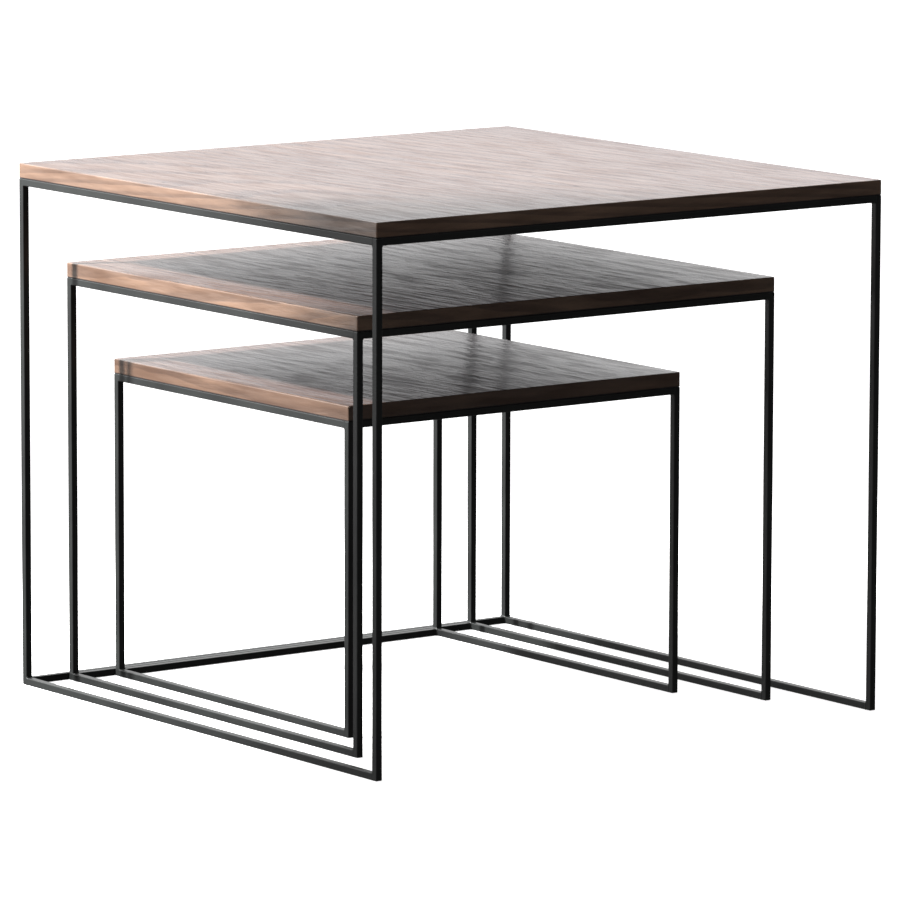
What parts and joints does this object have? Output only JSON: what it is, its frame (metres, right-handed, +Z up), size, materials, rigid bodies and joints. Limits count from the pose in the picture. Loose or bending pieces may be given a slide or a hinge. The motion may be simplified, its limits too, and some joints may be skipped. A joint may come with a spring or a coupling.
{
  "type": "nesting tables",
  "caption": "Nest of square side tables, each a dark oak board on a slim black square-bar steel frame with an open front; the smaller ones slide out from under the larger.",
  "frame": {"origin": "on the floor, under the middle of the large table's square footprint", "axes": "+Z up, -Y out of the open front that the smaller tables slide out of, +X to the right as seen from that front"},
  "size_m": [0.6, 0.6, 0.52],
  "materials": {
    "oak_board": "dark-stained open-grain oak, satin lacquer",
    "black_steel": "welded and ground square bar, satin black powder coat",
    "zinc_screw": "zinc-plated pan-head wood screws"
  },
  "bodies": {
    "large_table": {"large_board": "oak_board", "large_board_screws": "zinc_screw", "large_corner_tab_back_left": "black_steel", "large_corner_tab_back_right": "black_steel", "large_corner_tab_front_left": "black_steel", "large_corner_tab_front_right": "black_steel", "large_floor_rail_back": "black_steel", "large_floor_rail_left": "black_steel", "large_floor_rail_right": "black_steel", "large_leg_back_left": "black_steel", "large_leg_back_right": "black_steel", "large_leg_front_left": "black_steel", "large_leg_front_right": "black_steel", "large_top_rail_back": "black_steel", "large_top_rail_front": "black_steel", "large_top_rail_left": "black_steel", "large_top_rail_right": "black_steel"},
    "middle_table": {"middle_board": "oak_board", "middle_board_screws": "zinc_screw", "middle_corner_tab_back_left": "black_steel", "middle_corner_tab_back_right": "black_steel", "middle_corner_tab_front_left": "black_steel", "middle_corner_tab_front_right": "black_steel", "middle_floor_rail_back": "black_steel", "middle_floor_rail_left": "black_steel", "middle_floor_rail_right": "black_steel", "middle_leg_back_left": "black_steel", "middle_leg_back_right": "black_steel", "middle_leg_front_left": "black_steel", "middle_leg_front_right": "black_steel", "middle_top_rail_back": "black_steel", "middle_top_rail_front": "black_steel", "middle_top_rail_left": "black_steel", "middle_top_rail_right": "black_steel"},
    "small_table": {"small_board": "oak_board", "small_board_screws": "zinc_screw", "small_corner_tab_back_left": "black_steel", "small_corner_tab_back_right": "black_steel", "small_corner_tab_front_left": "black_steel", "small_corner_tab_front_right": "black_steel", "small_floor_rail_back": "black_steel", "small_floor_rail_left": "black_steel", "small_floor_rail_right": "black_steel", "small_leg_back_left": "black_steel", "small_leg_back_right": "black_steel", "small_leg_front_left": "black_steel", "small_leg_front_right": "black_steel", "small_top_rail_back": "black_steel", "small_top_rail_front": "black_steel", "small_top_rail_left": "black_steel", "small_top_rail_right": "black_steel"}
  },
  "joints": [
    {"name": "middle_slide", "type": "slide", "parent": "large_table", "child": "middle_table", "axis": [0, -1, 0], "range_m": [0, 0.6]},
    {"name": "small_slide", "type": "slide", "parent": "middle_table", "child": "small_table", "axis": [0, -1, 0], "range_m": [0, 0.5]}
  ]
}
